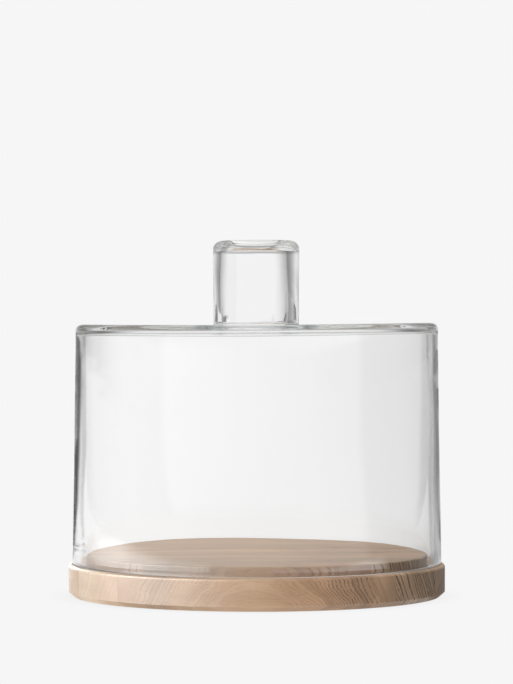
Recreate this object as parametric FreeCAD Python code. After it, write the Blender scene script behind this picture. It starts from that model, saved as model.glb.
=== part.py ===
"""Cake stand dome: a clear glass cloche with an open neck handle, on a turned ash board.

Millimetres, +Z up, origin at the centre of the board's underside, +X along the wood grain, front at -Y.
Six staves that run along X make up the board, which has a raised platform and a ledge around it.
The glass shell stands loose on the ledge; the neck sits on the middle of the shell's dished top.
"""

import FreeCAD
import Part
import math
import os

# --- board ---
BOARD_D = 320.0
LEDGE_Z = 27.0             # ledge the glass stands on
PLATFORM_D = 290.6
PLATFORM_Z = 35.0          # top of the raised platform
SEAM_ANGLE = -90.0         # seam of the turned faces, degrees from +X: middle of the front stave
BOTTOM_CHAMFER_R = 4.5     # underside chamfer, radially
BOTTOM_CHAMFER_Z = 4.0     # underside chamfer, vertically
BOARD_EDGE_R = 2.5         # round on the top outer edge
PLATFORM_EDGE_R = 1.2      # round on the platform's top edge
STAVE_NAMES = ["front_stave", "second_stave", "third_stave",
               "fourth_stave", "fifth_stave", "back_stave"]
STAVE_JOINTS_Y = [-113.0, -60.0, -5.0, 50.0, 104.0]   # glue lines, front to back
CUT_MARGIN = 5.0           # how far the cutting slabs reach past the board

# --- glass shell ---
FOOT_OD = 314.2            # outside diameter at the foot
TOP_OD = 308.8             # outside diameter just under the shoulder
SHELL_TOP_Z = 231.0        # highest ring of the shoulder
FOOT_WALL = 6.0            # wall at the foot
FOOT_R = 2.3               # round on both sides of the foot
TOP_WALL = 4.2             # wall under the shoulder
PLATE_T = 4.0              # thickness of the top
SHOULDER_R_OUT = 6.0
SHOULDER_R_IN = 3.6
DISH = 1.6                 # how far the top sinks from the shoulder ring to the neck
SEAT_R = 42.0              # radius of the flat seat for the neck
SEAT_Z = SHELL_TOP_Z - DISH
HOLE_EDGE_R = 1.6          # round on the underside of the hole below the neck
FOOT_EASE_H = 5.0          # last inside wall point, height above the foot round
FOOT_EASE_WALL = 0.1       # how much thinner than the foot the wall is there

# Outside wall: height above the ledge, share of the taper from foot to top
OUTSIDE_STATIONS = [(60, 0.30), (125, 0.66)]
# Inside wall, top down: height above the ledge, wall thickness added to TOP_WALL
INSIDE_STATIONS = [(110, 0.0), (50, 0.15), (26, 0.5)]
# Dished top, inwards from the shoulder: radius, share of DISH
DISH_STATIONS = [(105, 0.42), (70, 0.86)]

# --- neck handle ---
NECK_OD = 73.2
NECK_WALL = 8.0
BORE_R = NECK_OD / 2 - NECK_WALL   # bore of the neck and hole in the shell
NECK_TOP_Z = 301.6         # top of the rolled lip
LIP_HOLE_D = 45.0          # opening through the lip
LIP_H = 8.4                # height of the lip
LIP_R_OUT = 7.0            # outside round of the lip
NECK_WAIST = 0.5           # how far the outside draws in
NECK_FLARE = 1.8           # how far the neck's foot spreads, and the radius of its hollow
NECK_FLARE_T = 0.6         # thickness of the edge of that spread
# Outside of the neck: height above the seat, share of NECK_WAIST
WAIST_STATIONS = [(18, 1.0), (32, 0.9), (50, 0.3)]


def point(r, z):
    return FreeCAD.Vector(r, 0, z)


class Profile:
    """A closed outline in the XZ half plane, drawn point by point and turned about Z."""

    def __init__(self, r, z):
        self.edges = []
        self.start = self.end = point(r, z)

    def line(self, r, z):
        """A straight line, left out where it would have no length."""
        target = point(r, z)
        if (target - self.end).Length > 1e-6:
            self.edges.append(Part.LineSegment(self.end, target).toShape())
            self.end = target

    def round(self, centre_r, centre_z, radius, angle_from, angle_to):
        """An arc, angles in degrees from +r towards +z, reached by a straight line."""
        def on_circle(degrees):
            angle = math.radians(degrees)
            return centre_r + radius * math.cos(angle), centre_z + radius * math.sin(angle)

        self.line(*on_circle(angle_from))
        middle = point(*on_circle((angle_from + angle_to) / 2))
        target = point(*on_circle(angle_to))
        self.edges.append(Part.Arc(self.end, middle, target).toShape())
        self.end = target

    def spline(self, stations):
        """A smooth curve from the current end through the (r, z) stations."""
        points = [point(r, z) for r, z in stations]
        curve = Part.BSplineCurve()
        curve.interpolate([self.end] + points)
        self.edges.append(curve.toShape())
        self.end = points[-1]

    def turned(self):
        """Close the outline and revolve it to a solid."""
        self.line(self.start.x, self.start.z)
        wire = Part.Wire(Part.__sortEdges__(self.edges))
        turned = Part.Face(wire).revolve(FreeCAD.Vector(0, 0, 0), FreeCAD.Vector(0, 0, 1), 360)
        return turned.Solids[0]


def board():
    """The whole turned board, before it is cut into staves."""
    board_r = BOARD_D / 2
    platform_r = PLATFORM_D / 2
    profile = Profile(0, 0)
    profile.line(board_r - BOTTOM_CHAMFER_R, 0)
    profile.line(board_r, BOTTOM_CHAMFER_Z)
    profile.round(board_r - BOARD_EDGE_R, LEDGE_Z - BOARD_EDGE_R, BOARD_EDGE_R, 0, 90)
    profile.line(platform_r, LEDGE_Z)
    profile.round(platform_r - PLATFORM_EDGE_R, PLATFORM_Z - PLATFORM_EDGE_R,
                  PLATFORM_EDGE_R, 0, 90)
    profile.line(0, PLATFORM_Z)
    return profile.turned()


def staves():
    """The board cut at its glue lines, front to back."""
    whole = board()
    whole.rotate(FreeCAD.Vector(0, 0, 0), FreeCAD.Vector(0, 0, 1), SEAM_ANGLE)
    reach = BOARD_D / 2 + CUT_MARGIN
    limits = [-reach] + STAVE_JOINTS_Y + [reach]
    pieces = []
    for y_front, y_back in zip(limits, limits[1:]):
        slab = Part.makeBox(2 * reach, y_back - y_front, PLATFORM_Z + 2 * CUT_MARGIN,
                            FreeCAD.Vector(-reach, y_front, -CUT_MARGIN))
        pieces.append(whole.common(slab).Solids[0])
    # the rim crosses the second stave's front joint at 45 degrees: free-form faces mesh cleanly there
    pieces[1] = pieces[1].toNurbs()
    return pieces


def glass_shell():
    """Wall, shoulder and dished top, open below, with the hole under the neck."""
    foot_r = FOOT_OD / 2
    top_r = TOP_OD / 2
    taper = foot_r - top_r
    shoulder_z = SHELL_TOP_Z - SHOULDER_R_OUT
    underside_z = SHELL_TOP_Z - PLATE_T
    foot_round_z = LEDGE_Z + FOOT_R

    def straight_wall_r(height):
        """Outside radius of a straight wall at a height above the ledge."""
        return foot_r - taper * height / (shoulder_z - LEDGE_Z)

    # outside: wall, shoulder, dished top, seat
    profile = Profile(foot_r, foot_round_z)
    profile.spline([(foot_r - taper * share, LEDGE_Z + height)
                    for height, share in OUTSIDE_STATIONS] + [(top_r, shoulder_z)])
    profile.round(top_r - SHOULDER_R_OUT, shoulder_z, SHOULDER_R_OUT, 0, 90)
    profile.spline([(r, SHELL_TOP_Z - DISH * share) for r, share in DISH_STATIONS]
                   + [(SEAT_R, SEAT_Z)])
    profile.line(BORE_R, SEAT_Z)

    # hole, then the inside: top, shoulder, wall
    profile.round(BORE_R + HOLE_EDGE_R, SEAT_Z - PLATE_T + HOLE_EDGE_R, HOLE_EDGE_R, 180, 270)
    profile.line(SEAT_R, SEAT_Z - PLATE_T)
    inner_shoulder_r = top_r - TOP_WALL - SHOULDER_R_IN
    profile.spline([(r, underside_z - DISH * share) for r, share in reversed(DISH_STATIONS)]
                   + [(inner_shoulder_r, underside_z)])
    profile.round(inner_shoulder_r, underside_z - SHOULDER_R_IN, SHOULDER_R_IN, 90, 0)
    profile.spline([(straight_wall_r(height) - TOP_WALL - extra, LEDGE_Z + height)
                    for height, extra in INSIDE_STATIONS]
                   + [(foot_r - FOOT_WALL + FOOT_EASE_WALL, foot_round_z + FOOT_EASE_H),
                      (foot_r - FOOT_WALL, foot_round_z)])

    # rounded foot, standing on the ledge along a narrow ring
    profile.round(foot_r - FOOT_WALL + FOOT_R, foot_round_z, FOOT_R, 180, 270)
    profile.round(foot_r - FOOT_R, foot_round_z, FOOT_R, 270, 360)
    return profile.turned()


def neck_handle():
    """A thick glass tube, open at both ends, with its top edge rolled in to a heavy lip."""
    outer_r = NECK_OD / 2
    flare_r = outer_r - NECK_WAIST + NECK_FLARE

    # spread foot, then the drawn-in outside
    profile = Profile(BORE_R, SEAT_Z)
    profile.line(flare_r, SEAT_Z)
    profile.round(flare_r, SEAT_Z + NECK_FLARE_T + NECK_FLARE, NECK_FLARE, 270, 180)
    profile.spline([(outer_r - NECK_WAIST * share, SEAT_Z + height)
                    for height, share in WAIST_STATIONS]
                   + [(outer_r, NECK_TOP_Z - LIP_R_OUT)])

    # lip: outer round, flat crown, inner round, and the hollow back out to the bore
    profile.round(outer_r - LIP_R_OUT, NECK_TOP_Z - LIP_R_OUT, LIP_R_OUT, 0, 90)
    lip_r = LIP_H / 2
    lip_centre_r = LIP_HOLE_D / 2 + lip_r
    hollow_r = BORE_R - lip_centre_r
    profile.round(lip_centre_r, NECK_TOP_Z - lip_r, lip_r, 90, 270)
    profile.round(lip_centre_r, NECK_TOP_Z - LIP_H - hollow_r, hollow_r, 90, 0)
    return profile.turned()


def save(shape, name):
    if not shape.isValid():
        raise RuntimeError(name + " is not a valid solid")
    shape.exportStep(os.path.join("parts", name + ".step"))


os.makedirs("parts", exist_ok=True)
for name, stave in zip(STAVE_NAMES, staves()):
    save(stave, name)
save(glass_shell(), "glass_shell")
save(neck_handle(), "neck_handle")
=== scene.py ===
"""A clear blown-glass dome with a neck, standing on a round base glued up from six ash staves.

+Z is up and the camera looks along +Y, so +X is to its right. The staves run along X and are
glued side by side along Y. The glass is laid out in millimetres, everything else in metres.
"""
import math

import bmesh
import bpy
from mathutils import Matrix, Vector


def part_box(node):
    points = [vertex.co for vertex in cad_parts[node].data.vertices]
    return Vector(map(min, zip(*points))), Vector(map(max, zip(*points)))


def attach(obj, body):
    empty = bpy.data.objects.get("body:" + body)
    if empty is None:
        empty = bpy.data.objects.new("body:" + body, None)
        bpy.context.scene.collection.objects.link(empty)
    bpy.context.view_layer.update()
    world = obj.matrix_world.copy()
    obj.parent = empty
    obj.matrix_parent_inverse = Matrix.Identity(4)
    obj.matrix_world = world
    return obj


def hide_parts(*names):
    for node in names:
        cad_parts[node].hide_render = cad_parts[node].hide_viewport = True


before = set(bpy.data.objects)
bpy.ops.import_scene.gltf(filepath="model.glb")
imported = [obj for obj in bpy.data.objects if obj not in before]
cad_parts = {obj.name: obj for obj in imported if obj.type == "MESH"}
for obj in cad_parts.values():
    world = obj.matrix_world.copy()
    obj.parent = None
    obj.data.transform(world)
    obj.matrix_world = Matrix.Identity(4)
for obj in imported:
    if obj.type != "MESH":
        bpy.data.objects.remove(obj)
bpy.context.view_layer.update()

scene = bpy.context.scene
MM = 1e-3


def new_object(name, bm):
    mesh = bpy.data.meshes.new(name)
    bm.to_mesh(mesh)
    bm.free()
    made = bpy.data.objects.new(name, mesh)
    scene.collection.objects.link(made)
    return made


# ------------------------------------------------------------------------------------------
# node building
# ------------------------------------------------------------------------------------------
def add_node(tree, kind, inputs=None, output=0, **settings):
    """Add a node and return its output as a Value, or a list of Values for a tuple of outputs."""
    node = tree.nodes.new(kind)
    for key, setting in settings.items():
        setattr(node, key, setting)
    for key, given in (inputs or {}).items():
        if isinstance(given, Value):
            tree.links.new(given.socket, node.inputs[key])
        elif given is not None:
            node.inputs[key].default_value = given
    if isinstance(output, tuple):
        return [Value(tree, node.outputs[key]) for key in output]
    return Value(tree, node.outputs[output])


class Value:
    """A node output. Each operator or method adds a node; operands are numbers or Values."""

    def __init__(self, tree, socket):
        self.tree = tree
        self.socket = socket

    def node(self, kind, inputs, output=0, **settings):
        return add_node(self.tree, kind, inputs, output, **settings)

    def math(self, operation, other=None):
        return self.node("ShaderNodeMath", {0: self, 1: other}, operation=operation)

    def __add__(self, other):
        return self.math("ADD", other)

    def __sub__(self, other):
        return self.math("SUBTRACT", other)

    def __mul__(self, other):
        return self.math("MULTIPLY", other)

    def __truediv__(self, other):
        return self.math("DIVIDE", other)

    def maximum(self, other):
        return self.math("MAXIMUM", other)

    def vector(self, operation, other=None):
        return self.node("ShaderNodeVectorMath", {0: self, 1: other}, operation=operation)

    def scale(self, factor):
        return self.node("ShaderNodeVectorMath", {0: self, "Scale": factor}, operation="SCALE")

    def split(self):
        return self.node("ShaderNodeSeparateXYZ", {0: self}, output=(0, 1, 2))

    def noise(self, scale=1.0, detail=2.0, roughness=0.5, output="Fac"):
        inputs = {"Vector": self, "Scale": scale, "Detail": detail, "Roughness": roughness}
        return self.node("ShaderNodeTexNoise", inputs, output)

    def noise_1d(self, detail):
        inputs = {"W": self, "Scale": 1.0, "Detail": detail}
        return self.node("ShaderNodeTexNoise", inputs, "Fac", noise_dimensions="1D")

    def white_noise(self):
        return self.node("ShaderNodeTexWhiteNoise", {"W": self}, "Value", noise_dimensions="1D")

    def remap(self, start, end, low=0.0, high=1.0, kind="SMOOTHSTEP"):
        """Go from low at start to high at end, and hold beyond them."""
        return self.node("ShaderNodeMapRange", {0: self, 1: start, 2: end, 3: low, 4: high},
                         interpolation_type=kind, clamp=True)

    def linear(self, start, end, low=0.0, high=1.0):
        return self.remap(start, end, low, high, kind="LINEAR")

    def fade(self, start, end):
        return self.remap(start, end, 1.0, 0.0)

    def band(self, start, full, last, end):
        """Rise from start to full, fall again from last to end."""
        return self.remap(start, full) * self.fade(last, end)

    def mix(self, first, second):
        """A colour: first where this is 0, second where it is 1."""
        return self.node("ShaderNodeMix", {0: self, 6: first, 7: second}, 2, data_type="RGBA")

    def lerp(self, first, second):
        """A number: first where this is 0, second where it is 1."""
        return self.node("ShaderNodeMix", {0: self, 2: first, 3: second}, data_type="FLOAT")

    def ramp(self, stops):
        """A colour ramp from (position, grey) pairs."""
        made = self.node("ShaderNodeValToRGB", {0: self})
        elements = made.socket.node.color_ramp.elements
        for element, (position, level) in zip(elements, (stops[0], stops[-1])):
            element.position = position
            element.color = grey(level)
        for position, level in stops[1:-1]:
            elements.new(position).color = grey(level)
        return made

    def bump(self, strength, distance):
        return self.node("ShaderNodeBump",
                         {"Height": self, "Strength": strength, "Distance": distance})


def grey(level):
    return (level, level, level, 1)


def join(tree, x, y, z):
    return add_node(tree, "ShaderNodeCombineXYZ", {0: x, 1: y, 2: z})


def rescale(stops, start, end):
    """Ramp stops given over start..end, moved to 0..1."""
    return [((place - start) / (end - start), level) for place, level in stops]


def clean_tree(owner):
    owner.use_nodes = True
    owner.node_tree.nodes.clear()
    return owner.node_tree


def new_material(name):
    made = bpy.data.materials.new(name)
    return made, clean_tree(made)


def material_output(tree, **inputs):
    add_node(tree, "ShaderNodeOutputMaterial", inputs, output=())


# ------------------------------------------------------------------------------------------
# wood: solid ash, fibres along X, growth rings as cylinders round an axis of each stave's own
# (lengths in this section are millimetres)
# ------------------------------------------------------------------------------------------
STAVES = ["front_stave", "second_stave", "third_stave", "fourth_stave", "fifth_stave",
          "back_stave"]
JOINTS_Y = [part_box(stave)[1].y * 1000 for stave in STAVES[:-1]]
HALF_LENGTH = 160.0              # the base reaches this far along X
NO_PLAIN = (-2.0, -1.0)
# ring axis y and z, ring spacing, tone, strength of the dark lines, ring radius gained per mm
# of X, dark share of a ring, ring radii between which the lines fade, crowding of the rings
LOOKS = [
    (57.0, 66.0, 1.20, 1.00, 1.00, 0.004, 0.50, (170.0, 189.5), 0.0041),
    (36.0, 60.0, 3.20, 0.94, 2.30, -0.006, 0.52, NO_PLAIN, 0.0),
    (60.0, -140.0, 3.10, 0.95, 0.80, 0.008, 0.36, NO_PLAIN, 0.0),
    (30.0, 190.0, 2.70, 1.02, 0.85, 0.012, 0.34, NO_PLAIN, 0.0),
    (250.0, -30.0, 2.40, 0.98, 0.90, -0.012, 0.36, NO_PLAIN, 0.0),
    (180.0, 150.0, 2.90, 1.00, 0.90, 0.014, 0.34, NO_PLAIN, 0.0),
]
# place along X from 0 at the -X end to 1 at the +X end, level
BOLDNESS = [(0.0, 0.04), (0.13, 0.06), (0.19, 0.40), (0.35, 0.42), (0.42, 0.14), (0.53, 0.16),
            (0.60, 0.60), (0.69, 1.15), (1.0, 1.30)]
FRONT_DRIFT = [(0.0, 1.0), (0.175, 1.0), (0.234, 0.79), (0.272, 0.78), (0.310, 0.96),
               (0.385, 1.0), (0.447, 0.83), (0.520, 0.89), (0.600, 0.97), (0.665, 1.06),
               (0.745, 0.90), (0.775, 0.86), (0.805, 1.08), (0.840, 0.86), (1.0, 0.86)]
EXTRAS = {
    # the front stave's darker -X part is painted shade
    "front_stave": {"left_painted_shade": 0.75, "drift": FRONT_DRIFT},
    # the pale, whiter -X end of the second stave is painted sheen
    "second_stave": {"painted_sheen": (1.22, 1.40, 1.58, 1)},
}
LINE_COLOUR = (0.150, 0.083, 0.042, 1)
DIM_YEARS_COLOUR = (0.36, 0.215, 0.12, 1)
PORE_COLOUR = (0.16, 0.09, 0.05, 1)
FLECK_COLOUR = (0.78, 0.60, 0.43, 1)
HEARTWOOD_TINT = (0.82, 0.775, 0.755, 1)
SHEEN_STAVE_REST_TINT = (0.97, 1.0, 1.04, 1)
RUBBED_COLOUR = (0.72, 0.545, 0.385, 1)
LEDGE_CORNER_DARK_COLOUR = (0.22, 0.14, 0.085, 1)
# painted contact shadow under the glass foot
FOOT_CONTACT_SHADE_COLOUR = (0.13, 0.085, 0.052, 1)
GLUE_COLOUR = (0.20, 0.12, 0.07, 1)


def growth_rings(place, stretched, seed, axis_y, axis_z, spacing, line, tilt, dark_share,
                 plain, spread):
    """Ring lines, their darkness, darker years, paler years, and boldness along X."""
    x, y, z = place
    # slow wander of the fibres and fine irregular edges
    slow = stretched(200, 60, 50, detail=1.5, output="Color")
    fine = stretched(26, 5.5, 5.5)
    wander_y, wander_z, _ = slow.split()
    from_y = y - axis_y + (wander_y - 0.5) * 7.0
    from_z = z - axis_z + (wander_z - 0.5) * 6.0
    radius = (from_y * from_y + from_z * from_z).math("SQRT") + x * tilt
    radius = radius + (fine - 0.5) * 1.9
    radius = radius + (stretched(70, 15, 15, detail=1.0) - 0.5) * 3.4

    # count of years at this radius, with uneven spacing
    past = radius - 225.0
    count = radius * (1.0 / spacing) + past * past * spread
    count = count + (radius * 0.055 + seed * 3.1).noise_1d(detail=2.0) * 3.2
    within = count.math("FRACT")
    chance = (count.math("FLOOR") + seed * 31.0).white_noise()
    rise_start = chance.lerp(1.0 - dark_share * 1.25, 1.0 - dark_share * 0.6)
    ring_line = within.remap(rise_start, 0.97).maximum(within.fade(0.0, 0.09))

    # each line's strength: by chance, by slow groups, broken along its length, quiet in plain
    strong = (radius * 0.03 + seed * 7.7).noise_1d(detail=1.0).remap(0.30, 0.55)
    broken = stretched(40, 3.4, 3.4).remap(0.36, 0.58, 0.30, 1.0)
    strength = chance.lerp(0.45, 1.0) * strong.lerp(0.45, 1.0) * broken
    quiet = radius.band(plain[0] - 1.0, plain[0] + 1.0, plain[1] - 1.0, plain[1] + 1.0)
    strength = strength * quiet.lerp(1.0, 0.06)
    bold = x.linear(-HALF_LENGTH, HALF_LENGTH).ramp(BOLDNESS)
    mark = ring_line * strength * (bold * line)

    # slow groups of darker and paler years
    years = (radius * 0.16 + seed * 4.3).noise_1d(detail=2.0)
    dim = years.remap(0.50, 0.72) * (bold * 0.42)
    pale = (radius * 0.27 + seed * 9.9).noise_1d(detail=1.0).remap(0.60, 0.72)
    return ring_line, mark, dim, pale, bold


def wear_and_painted_shade(colour, place, stretched):
    """Rubbed edges, dark ledge corner, painted foot shadow, glue lines. Returns colour and wear.
    """
    x, y, z = place
    radius = (x * x + y * y).math("SQRT")
    # the turned edges are rubbed paler: upper rim, raised step, and a low line on the side
    rim = radius.remap(157.3, 159.7) * z.remap(24.2, 26.3)
    step = radius.band(143.2, 145.0, 145.29, 145.6) * z.remap(33.3, 34.8)
    low = radius.remap(158.8, 159.95) * z.band(3.0, 3.9, 4.1, 5.2)
    patchy = stretched(16, 16, 9).remap(0.35, 0.65, 0.35, 1.0)
    wear = rim.maximum(step).maximum(low) * patchy
    colour = (wear * 0.22).mix(colour, RUBBED_COLOUR)
    # darker in the corner of the ledge, at the foot of the raised step
    corner = radius.fade(145.2, 146.9) * radius.remap(144.9, 145.25) * z.fade(27.0, 29.2)
    colour = (corner * 0.30).mix(colour, LEDGE_CORNER_DARK_COLOUR)
    # painted shadow: a dark ring on the ledge under the glass foot stands in for the contact
    # shadow there
    foot_contact_shade = radius.band(154.6, 155.6, 157.2, 157.7) * z.remap(26.0, 26.8)
    colour = (foot_contact_shade * 0.72).mix(colour, FOOT_CONTACT_SHADE_COLOUR)
    # hair-fine glue lines
    for joint in JOINTS_Y:
        gap = (y - joint).math("ABSOLUTE")
        colour = (gap.fade(0.05, 0.30) * 0.40).mix(colour, GLUE_COLOUR)
    return colour, wear


def wood(name, seed, axis_y, axis_z, spacing, tone, line, tilt, dark_share, plain, spread,
         left_painted_shade=1.0, drift=None, painted_sheen=None):
    made, tree = new_material(name)
    coords = add_node(tree, "ShaderNodeTexCoord", output="Object").scale(1000.0)
    place = x, y, z = coords.split()
    seed_shift = (seed * 17.31, seed * 5.77, seed * 9.13)

    def stretched(length_x, length_y, length_z, **options):
        """Noise whose features have these lengths."""
        shrunk = join(tree, x * (1.0 / length_x), y * (1.0 / length_y), z * (1.0 / length_z))
        return shrunk.vector("ADD", seed_shift).noise(**options)

    def toned(red, green, blue):
        return (red * tone, green * tone, blue * tone, 1)

    ring_line, mark, dim, pale, bold = growth_rings(
        place, stretched, seed, axis_y, axis_z, spacing, line, tilt, dark_share, plain, spread)

    # fibres and pores: dashes along X, dots on end grain
    fibre = stretched(34, 0.85, 0.85, detail=3.0, roughness=0.62)
    pore = stretched(7.0, 0.42, 0.42, detail=1.0)
    pores = pore.remap(0.60, 0.72) * ring_line.lerp(0.22, 1.0)
    pore_depth = add_node(tree, "ShaderNodeMath", {0: 0.50, 1: line}, operation="MULTIPLY")
    cloud = stretched(210, 24, 22)
    warm = stretched(90, 60, 50, detail=1.0)
    # pale flecks of the rays
    flecks = stretched(5.0, 2.6, 0.5, detail=1.0, roughness=0.3).remap(0.66, 0.76)

    # from broad tones to fine marks
    colour = cloud.remap(0.30, 0.72).mix(toned(0.650, 0.424, 0.260), toned(0.530, 0.335, 0.195))
    colour = (warm.remap(0.35, 0.75) * 0.35).mix(colour, toned(0.62, 0.385, 0.226))
    colour = (pale * bold.lerp(0.17, 0.05)).mix(colour, toned(0.80, 0.60, 0.43))
    colour = dim.mix(colour, DIM_YEARS_COLOUR)
    colour = (mark * 0.88).mix(colour, LINE_COLOUR)
    colour = (pores * pore_depth).mix(colour, PORE_COLOUR)
    colour = colour.scale(fibre.linear(0.25, 0.75).lerp(0.90, 1.08))
    colour = (flecks * 0.22).mix(colour, FLECK_COLOUR)

    # end grain drinks more oil and goes darker, most at the +X end
    normal_x, _, _ = add_node(tree, "ShaderNodeNewGeometry", output="True Normal").split()
    thirst = normal_x.remap(-0.1, 0.1).lerp(0.88, 0.54)
    colour = colour.scale((normal_x * normal_x).lerp(1.0, thirst))
    # painted shade: with a left tone below 1 the stave is darker towards -X, standing in for less
    # light falling there
    colour = colour.scale(x.remap(-42.0, -14.0, left_painted_shade, 1.0))
    if drift:
        # heartwood side, then a slow change of tone along the stave
        heartwood = x.remap(-8.0, 32.0) * x.remap(90.0, 100.0, 1.0, 0.35)
        colour = colour.vector("MULTIPLY", heartwood.mix(grey(1.0), HEARTWOOD_TINT))
        colour = colour.scale(x.linear(-HALF_LENGTH, HALF_LENGTH).ramp(drift))
    if painted_sheen:
        # painted sheen: the -X end is made paler and whiter, standing in for glare from the left
        tint = x.fade(-143.0, -112.0).mix(SHEEN_STAVE_REST_TINT, painted_sheen)
        colour = colour.vector("MULTIPLY", tint)
    colour, wear = wear_and_painted_shade(colour, place, stretched)

    roughness = ring_line.lerp(0.44, 0.60) + (fibre - 0.5) * 0.16 - wear * 0.10
    height = fibre * 0.35 - (mark * 0.55 + pores * 0.9)
    surface = add_node(tree, "ShaderNodeBsdfPrincipled", {
        "Base Color": colour,
        "Roughness": roughness,
        "Normal": height.bump(strength=0.55, distance=0.00011),
        "Specular IOR Level": 0.46,
        "Coat Weight": 0.22,
        "Coat Roughness": 0.42,
    })
    material_output(tree, Surface=surface)
    return made


for number, (stave, look) in enumerate(zip(STAVES, LOOKS), start=1):
    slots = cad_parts[stave].data.materials
    slots.clear()
    slots.append(wood("ash_" + stave, number, *look, **EXTRAS.get(stave, {})))


# ------------------------------------------------------------------------------------------
# glass: dome and neck as one blown and tooled piece, turned from an (r, z) outline in mm
# ------------------------------------------------------------------------------------------
shell_low, shell_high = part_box("glass_shell")
neck_low, neck_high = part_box("neck_handle")
PLATE_DROP = 0.75                            # the plate is below the top of the tipped shoulder
FOOT_R = shell_high.x * 1000                 # outside radius at the foot
FOOT_Z = shell_low.z * 1000                  # ledge the foot stands on
FOOT_ROUND = 2.5
PLATE_Z = shell_high.z * 1000 - PLATE_DROP   # top plate at the shoulder
PLATE = 4.35                                 # thickness of the top plate
PLATE_SAG = [(125, 0.30), (95, 0.95), (66, 1.42)]    # radius, drop below PLATE_Z
WALL_R = FOOT_R - 2.7                        # outside radius under the shoulder
WALL = 4.9                                   # wall thickness under the shoulder
WALL_STATIONS = [(170, 5.0), (110, 5.2), (70, 5.4), (50, 5.6)]     # z, thickness
SHOULDER = 5.2                               # outer rounding
INNER_SHOULDER = 4.6
SHOULDER_Z = PLATE_Z - SHOULDER
NECK_Z = neck_low.z * 1000 - PLATE_DROP      # top plate at the neck
NECK_R = 37.0
BORE_R = 28.6
BORE_ROUND = 2.6                             # lower end of the bore
TOP_Z = neck_high.z * 1000 - 0.25            # top of the lip
HOLE_R = 22.5                                # hole through the rolled lip
LIP = 8.8                                    # height of the lip at the hole
LIP_ROUND = 7.7                              # outer rounding of the lip
LIP_ROLL = 4.9                               # half width of the roll round the hole
HOLLOW = BORE_R - HOLE_R - LIP_ROLL          # rounding under the lip
SEGMENTS = 320


def arc(centre_r, centre_z, radius, start, end, steps, radius_z=None):
    """Points from angle start to end, in degrees from +r towards +z."""
    radius_z = radius_z or radius
    angles = [math.radians(start + (end - start) * i / steps) for i in range(steps + 1)]
    return [(centre_r + radius * math.cos(angle), centre_z + radius_z * math.sin(angle))
            for angle in angles]


def thin(points, least):
    """Drop points closer than least to the one before."""
    kept = [points[0]]
    for point in points[1:]:
        if math.dist(point, kept[-1]) > least:
            kept.append(point)
    return kept


def densify(points, step):
    """Split every span longer than step."""
    out = [points[0]]
    for a, b in zip(points, points[1:]):
        count = max(1, int(math.ceil(math.dist(a, b) / step)))
        out += [(a[0] + (b[0] - a[0]) * i / count, a[1] + (b[1] - a[1]) * i / count)
                for i in range(1, count + 1)]
    return out


def spline(points, step):
    """Catmull-Rom through the points, ends included."""
    ends = [points[0]] + list(points) + [points[-1]]
    out = [points[0]]
    for a, b, c, d in zip(ends, ends[1:], ends[2:], ends[3:]):
        count = max(2, int(math.dist(b, c) / step))
        for i in range(1, count + 1):
            t = i / count
            out.append(tuple(
                0.5 * (2 * b[j] + (c[j] - a[j]) * t
                       + (2 * a[j] - 5 * b[j] + 4 * c[j] - d[j]) * t * t
                       + (3 * b[j] - a[j] - 3 * c[j] + d[j]) * t ** 3) for j in (0, 1)))
    return out


def ease(start, end, value):
    """Smooth step from 0 at start to 1 at end; start may be the larger."""
    t = min(1.0, max(0.0, (value - start) / (end - start)))
    return t * t * (3 - 2 * t)


def wall_radius(z):
    share = min(1.0, max(0.0, (z - FOOT_Z) / (SHOULDER_Z - FOOT_Z)))
    return FOOT_R - (FOOT_R - WALL_R) * share


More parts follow.
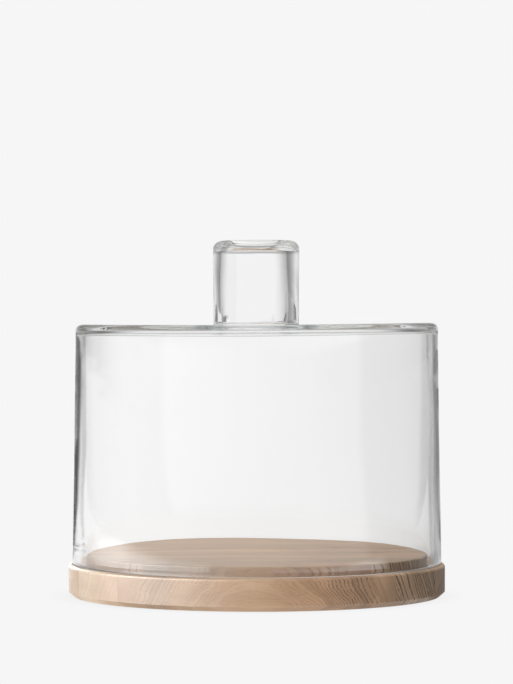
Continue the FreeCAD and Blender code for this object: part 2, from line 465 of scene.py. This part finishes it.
def glass_outline():
    """From the foot up the outside, over the lip, down the bore and the inside to the foot."""
    foot_z = FOOT_Z + FOOT_ROUND
    low_z = NECK_Z - PLATE                   # underside of the plate at the neck
    inner_r = WALL_R - WALL
    inner_z = PLATE_Z - PLATE - INNER_SHOULDER
    points = arc(FOOT_R - FOOT_ROUND, foot_z, FOOT_ROUND, -90, 0, 8)
    points += [(wall_radius(z), z) for z in (FOOT_Z + rise for rise in (20, 60, 110, 160))]
    points += arc(WALL_R - SHOULDER, SHOULDER_Z, SHOULDER, 0, 90, 16)
    # top plate and foot of the neck
    points += spline([(WALL_R - SHOULDER, PLATE_Z)]
                     + [(r, PLATE_Z - sag) for r, sag in PLATE_SAG]
                     + [(NECK_R + 3.0, NECK_Z)], 3.0)
    points += arc(NECK_R + 1.9, NECK_Z + 2.2, 2.3, 270, 180, 8, radius_z=2.2)
    # slightly waisted neck
    points += spline([(NECK_R - 0.4, NECK_Z + 2.2), (NECK_R - 0.42, NECK_Z + 16),
                      (NECK_R - 0.36, NECK_Z + 32), (NECK_R - 0.1, NECK_Z + 50),
                      (NECK_R, TOP_Z - LIP_ROUND)], 2.5)
    # rolled lip and the hollow under it
    points += arc(NECK_R - LIP_ROUND, TOP_Z - LIP_ROUND, LIP_ROUND, 0, 90, 16)
    points += arc(HOLE_R + LIP_ROLL, TOP_Z - LIP / 2, LIP_ROLL, 90, 270, 22, radius_z=LIP / 2)
    points += arc(HOLE_R + LIP_ROLL, TOP_Z - LIP - HOLLOW, HOLLOW, 90, 0, 8)
    # bore
    points += [(BORE_R, TOP_Z - 20), (BORE_R, NECK_Z + 4), (BORE_R, low_z + BORE_ROUND)]
    points += arc(BORE_R + BORE_ROUND, low_z + BORE_ROUND, BORE_ROUND, 180, 270, 8)
    # underside of the plate, inner shoulder, inside of the wall and the foot
    points += spline([(BORE_R + BORE_ROUND, low_z)]
                     + [(r, PLATE_Z - sag - PLATE) for r, sag in reversed(PLATE_SAG)]
                     + [(inner_r - INNER_SHOULDER, PLATE_Z - PLATE)], 3.0)
    points += arc(inner_r - INNER_SHOULDER, inner_z, INNER_SHOULDER, 90, 0, 14)
    points += spline([(inner_r, inner_z)]
                     + [(wall_radius(z) - thickness, z) for z, thickness in WALL_STATIONS]
                     + [(FOOT_R - 5.8, 38), (FOOT_R - 6.0, foot_z)], 1.2)
    points += arc(FOOT_R - 3.5, foot_z, FOOT_ROUND, 180, 270, 8)
    return densify(thin(points, 0.12), 2.2)


def blown(r, z, angle, inside):
    """Hand-blown glass is never quite true: the wall drifts, the plate rolls, the rim tips."""
    if r > 60:
        free = ease(FOOT_Z + 1.5, FOOT_Z + 45, z)            # the ground foot is true
        drift = (0.20 * math.sin(2 * angle + 0.7) + 0.12 * math.sin(3 * angle + 2.1 + z * 0.013)
                 + 0.07 * math.sin(7 * angle + z * 0.03))
        if inside:
            drift += (0.08 * math.sin(5 * angle + 1.0 + z * 0.045)
                      + 0.05 * math.sin(z * 0.09 + 2 * angle))
            # a fold at the -X side of the foot
            drift -= 1.2 * ease(0.86, 0.97, -math.cos(angle)) * ease(45.5, 42.5, z)
        new_r = r - (0.0 if inside else 0.30) * free + drift * free * 0.8
    else:
        drift = 0.12 * math.sin(2 * angle + 0.4) + 0.08 * math.sin(3 * angle + z * 0.06)
        if inside:
            drift += (0.14 * math.sin(2 * angle + 2.0 + z * 0.05)
                      + 0.06 * math.sin(5 * angle + z * 0.11))
        new_r = r + drift * ease(60, 40, r) * (1.0 if inside else 0.8) - (0.0 if inside else 0.12)
    if z <= 120:
        return new_r, z
    top = ease(120.0, PLATE_Z - 4, z)
    over = ease(200, PLATE_Z - 6, z)
    # the top rises towards +X, and the rim dips at front and back
    tip = (0.60 * math.cos(angle) + 0.25 * max(0.0, math.cos(angle))) * (r / WALL_R) * top
    tip += (0.70 * math.cos(2 * angle) - 0.02) * over * ease(56, 135, r)
    roll = 0.20 * math.sin(3 * angle + 0.5) * ease(40, 110, r) * ease(WALL_R, 120, r)
    roll += 0.14 * math.sin(2 * angle + r * 0.07)
    return new_r, z + (tip + roll * over * ease(38, 60, r))


def turned_glass(name, outline):
    bm = bmesh.new()
    grid = []
    inside_from = next(i for i, (r, _) in enumerate(outline) if abs(r - HOLE_R) < 0.2)
    for i, (r, z) in enumerate(outline):
        inside = i >= inside_from
        shift = -0.6 * ease(58, 42, r)       # the neck was set a little towards -X
        if inside:                           # and its bore a little further
            shift -= 1.2 * ease(HOLE_R + 1.0, BORE_R, r) * ease(34, BORE_R + 0.6, r)
        ring = []
        for k in range(SEGMENTS):
            angle = 2 * math.pi * k / SEGMENTS
            new_r, new_z = blown(r, z, angle, inside)
            ring.append(bm.verts.new(((new_r * math.cos(angle) + shift) * MM,
                                      new_r * MM * math.sin(angle), new_z * MM)))
        grid.append(ring)
    for a, b in zip(grid, grid[1:] + grid[:1]):
        for k in range(SEGMENTS):
            after = (k + 1) % SEGMENTS
            bm.faces.new((a[k], a[after], b[after], b[k])).smooth = True
    bmesh.ops.recalc_face_normals(bm, faces=bm.faces)
    return new_object(name, bm)


def glass(name):
    made, tree = new_material(name)
    coords = add_node(tree, "ShaderNodeTexCoord", output="Object")
    x, y, z = coords.split()
    # drawn waves: long round the wall, short up it, and a faint broad swell
    swell = coords.noise(scale=11.0, detail=1.0)
    angle = y.math("ARCTAN2", x)
    cord = join(tree, angle.math("COSINE") * 2.2, angle.math("SINE") * 2.2, z * 34.0).noise()
    height = swell * 1.0 + cord * 0.30
    haze = coords.noise(scale=7.0, detail=3.0).remap(0.45, 0.80) * 0.012
    solid = add_node(tree, "ShaderNodeBsdfPrincipled", {
        "Base Color": grey(1),
        "Transmission Weight": 1.0,
        "IOR": 1.5,
        "Roughness": haze,
        "Normal": height.bump(strength=0.30, distance=0.0006),
    })
    # shadow and diffuse rays pass straight through
    clear = add_node(tree, "ShaderNodeBsdfTransparent", {"Color": (0.93, 0.935, 0.935, 1)})
    shadow, diffuse = add_node(tree, "ShaderNodeLightPath",
                               output=("Is Shadow Ray", "Is Diffuse Ray"))
    surface = add_node(tree, "ShaderNodeMixShader",
                       {0: shadow.maximum(diffuse), 1: solid, 2: clear})
    volume = add_node(tree, "ShaderNodeVolumeAbsorption",
                      {"Color": (0.76, 0.80, 0.80, 1), "Density": 3.0})
    material_output(tree, Surface=surface, Volume=volume)
    return made


dome = turned_glass("dome_glass", glass_outline())
dome.data.materials.append(glass("clear_blown_glass"))
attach(dome, "dome")
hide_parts("glass_shell", "neck_handle")


# ------------------------------------------------------------------------------------------
# studio: the rig turns with the camera, so the glass is lit the same way from every side
# ------------------------------------------------------------------------------------------
CAMERA_DISTANCE = 2.556
PALE = 0.922                       # background seen by the camera, linear
PIPED = 0.95                       # light piped along the plate
FIELD_EDGE = (0.188, 0.228)        # sideways slopes over which the lit field ends

camera_data = bpy.data.cameras.new("camera")
camera = bpy.data.objects.new("camera", camera_data)
scene.collection.objects.link(camera)
camera.location = (-0.0003, -CAMERA_DISTANCE, 0.2288)
camera.rotation_euler = (math.radians(90 - 0.3056), 0, 0)
camera_data.lens = 157.9
camera_data.sensor_width = 36
camera_data.clip_start = 0.01
camera_data.clip_end = 60
scene.camera = camera

rig = bpy.data.objects.new("studio_rig", None)
scene.collection.objects.link(rig)
track = rig.constraints.new("LOCKED_TRACK")
track.target = camera
track.track_axis = "TRACK_NEGATIVE_Y"
track.lock_axis = "LOCK_Z"

# sideways place from left to right, brightness
BACKDROP = [(0.0, 1.00), (0.25, 0.99), (0.5, 0.92), (0.60, 0.90), (0.70, 0.86), (0.80, 0.84),
            (1.0, 0.80)]
# direction from -1 at the camera to 1 straight ahead of it, brightness
AROUND_LEFT = [(-1.0, 0.80), (0.37, 0.90), (0.78, 0.92), (0.815, 0.80), (0.845, 0.36),
               (0.87, 0.10), (1.0, 0.09)]
AROUND_RIGHT = [(-1.0, 0.80), (-0.43, 0.80), (-0.32, 0.16), (0.0, 0.20), (0.18, 0.30),
                (0.60, 0.34), (0.78, 0.48), (0.84, 0.40), (0.90, 0.23), (1.0, 0.22)]
# direction from 0 sideways to 1 straight ahead, brightness
HIGH_SIDE = [(0.0, 0.24), (0.643, 0.29), (0.788, 0.40), (0.906, 0.60), (0.955, 0.76),
             (0.985, 0.92), (1.0, 0.92)]
JUST_OVER = [(0.0, 0.30), (0.643, 0.38), (0.80, 0.60), (0.86, 0.56), (0.895, 0.17),
             (0.965, 0.12), (0.975, 0.16), (0.992, 0.92), (1.0, 0.92)]
# place up the studio, brightness
UPWARD = [(0.0, 1.0), (0.09, 1.0), (0.22, 0.70), (0.44, 0.42), (1.0, 0.42)]
# angle round the object from the camera, radians, positive to the right; strength
GLARE = [(-2.0, 0.0), (-1.75, 0.22), (-1.5, 0.48), (-1.2, 0.40), (-0.90, 0.30), (-0.87, 0.19),
         (-0.48, 0.22), (-0.45, 0.0), (0.09, 0.0), (0.12, 0.11), (0.53, 0.14), (0.86, 0.28),
         (1.10, 0.30), (1.3, 0.24), (1.42, 0.0)]


def backdrop(slope):
    """Brightness of the lit field behind the object, by sideways slope."""
    return slope.linear(-0.10, 0.10).ramp(BACKDROP)


def around(right, ahead):
    """Brightness round the object: soft light on the camera's side and from the left, dark
    flags beside the backdrop and on the right."""
    turn = ahead.linear(-1.0, 1.0)
    left_side, right_side = (turn.ramp(rescale(stops, -1.0, 1.0))
                             for stops in (AROUND_LEFT, AROUND_RIGHT))
    return right.remap(-0.02, 0.02).mix(left_side, right_side)


def flat_length(right, ahead):
    return (right * right + ahead * ahead).math("SQRT").maximum(0.001)


def add_piped_light(depth, colour):
    """Lift rays that have bounced many times."""
    return depth.remap(8.0, 14.0, 0.0, 0.22).mix(colour, grey(PIPED))


def build_world():
    world = bpy.data.worlds.new("studio")
    scene.world = world
    tree = clean_tree(world)
    coords = add_node(tree, "ShaderNodeTexCoord", output="Object", object=rig)
    right, ahead, up = coords.vector("NORMALIZE").split()
    flat = flat_length(right, ahead)
    flat_right, flat_ahead = right / flat, ahead / flat
    slope = flat_right / flat_ahead.maximum(0.02)
    behind = slope.math("ABSOLUTE").fade(*FIELD_EDGE) * flat_ahead.remap(0.0, 0.3)
    low_field = behind.mix(around(flat_right, flat_ahead), backdrop(slope))

    high_side = flat_ahead.ramp(HIGH_SIDE)
    high_side = up.remap(-0.001, 0.004).mix(flat_ahead.ramp(JUST_OVER), high_side)
    high_field = flat_ahead.remap(0.0, 0.5).mix(around(flat_right, flat_ahead), high_side)
    # the lit field ends a little above the object; darker from there to the overhead light
    upward = up.linear(0.0, 0.5).ramp(UPWARD)
    dimming = flat_ahead.remap(-0.2, 0.3).lerp(upward.lerp(0.5, 1.0), upward)
    high_field = high_field.scale(dimming)

    depth, is_diffuse, is_camera = add_node(
        tree, "ShaderNodeLightPath", output=("Ray Depth", "Is Diffuse Ray", "Is Camera Ray"))
    body = up.remap(-0.006, -0.002).mix(low_field, high_field)
    body = up.remap(0.46, 0.76, 0.0, 0.85).mix(body, grey(0.95))
    body = add_piped_light(depth, body)
    # what lights matt surfaces
    soft = right.linear(-0.9, 0.9).mix(grey(0.40), grey(0.14))
    soft = up.remap(0.30, 0.80, 0.0, 0.8).mix(soft, grey(0.53))
    final = is_camera.mix(is_diffuse.mix(body, soft), grey(PALE))
    background = add_node(tree, "ShaderNodeBackground", {0: final})
    add_node(tree, "ShaderNodeOutputWorld", {0: background}, output=())


def floor_material(name):
    """Pale and evenly bright, with a faint contact shade."""
    made, tree = new_material(name)
    coords = add_node(tree, "ShaderNodeTexCoord", output="Object", object=rig)
    right, ahead, _ = coords.split()
    slope = right / (ahead + CAMERA_DISTANCE).maximum(0.4)
    reach = flat_length(right, ahead)
    flat_right, flat_ahead = right / reach, ahead / reach
    # part behind the object, widening with distance from the sides of the base
    side = (right.math("ABSOLUTE") - 0.165).maximum(0.0) / ahead.maximum(0.02)
    behind = side.fade(*FIELD_EDGE) * ahead.remap(0.0, 0.06)

    # lit part of the table seen by the outside of the glass: strongest at the left
    angle = flat_right.math("ARCTAN2", flat_ahead * -1.0).linear(-2.0, 2.0)
    glare = angle.ramp(rescale(GLARE, -2.0, 2.0)) * reach.band(0.52, 0.66, 0.95, 1.35)
    passes, length, depth = add_node(
        tree, "ShaderNodeLightPath", output=("Transmission Depth", "Ray Length", "Ray Depth"))
    glare = glare * (passes.math("LESS_THAN", 0.5) * length.math("GREATER_THAN", 0.45))
    table = around(flat_right, flat_ahead).vector("ADD", join(tree, 10.0, 10.0, 10.0).scale(glare))
    seen = add_piped_light(depth, behind.mix(table, backdrop(slope)))

    contact = add_node(tree, "ShaderNodeAmbientOcclusion", {"Distance": 0.035}, "AO", samples=8)
    to_camera = join(tree, PALE, PALE, PALE).scale(contact.remap(0.30, 0.95, 0.94, 1.0))
    to_matt = join(tree, 1.0, 1.0, 1.0).scale(flat_right.linear(-0.8, 0.8, 1.20, 0.50))
    for ray, light in (("Is Camera Ray", to_camera), ("Is Diffuse Ray", to_matt)):
        seen = add_node(tree, "ShaderNodeLightPath", output=ray).mix(seen, light)
    material_output(tree, Surface=add_node(tree, "ShaderNodeEmission", {"Color": seen}))
    return made


def softbox(name, azimuth, distance, height, width, tall, power, tint=(1, 1, 1), glossy=True,
            aim=0.12):
    """A rectangular light on the rig, aimed at height aim on the axis. Azimuth 0 is at the
    camera, positive to the camera's right."""
    light = bpy.data.lights.new(name, "AREA")
    light.shape = "RECTANGLE"
    light.size = width
    light.size_y = tall
    light.energy = power
    light.color = tint
    made = bpy.data.objects.new(name, light)
    scene.collection.objects.link(made)
    angle = math.radians(azimuth)
    made.location = (math.sin(angle) * distance, -math.cos(angle) * distance, height)
    toward = Vector((0, 0, aim)) - made.location
    made.rotation_mode = "QUATERNION"
    made.rotation_quaternion = toward.to_track_quat("-Z", "Y")
    made.parent = rig
    made.visible_transmission = False
    made.visible_glossy = glossy
    made.visible_camera = False
    return made


build_world()

bm = bmesh.new()
bmesh.ops.create_grid(bm, x_segments=8, y_segments=8, size=9.0)
for vertex in bm.verts:
    vertex.co.z = -0.0002
floor = new_object("floor", bm)
floor.data.materials.append(floor_material("floor_pale"))

lit_wood = bpy.data.collections.new("lit_wood")
for stave in STAVES:
    lit_wood.objects.link(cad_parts[stave])

softbox("key", azimuth=-8, distance=1.6, height=0.45, width=0.9, tall=0.7, power=6.6,
        tint=(1.0, 0.985, 0.965), glossy=False, aim=0.02)
softbox("overhead", azimuth=0, distance=0.2, height=1.7, width=1.2, tall=1.2, power=9.0,
        glossy=False)
# reflections on the wood only
for name, azimuth, width, power in (("sheen_left", -67, 1.8, 108.0),
                                    ("sheen_back", -150, 0.7, 18.0)):
    sheen = softbox(name, azimuth, distance=1.3, height=0.35, width=width, tall=1.1, power=power)
    sheen.visible_diffuse = False
    sheen.light_linking.receiver_collection = lit_wood

scene.view_settings.view_transform = "Standard"
scene.view_settings.look = "None"
cycles = scene.cycles
cycles.max_bounces = 160
cycles.transmission_bounces = 160
cycles.glossy_bounces = 160
cycles.diffuse_bounces = 3
cycles.transparent_max_bounces = 16
cycles.caustics_reflective = False
cycles.caustics_refractive = False
cycles.sample_clamp_indirect = 6.0
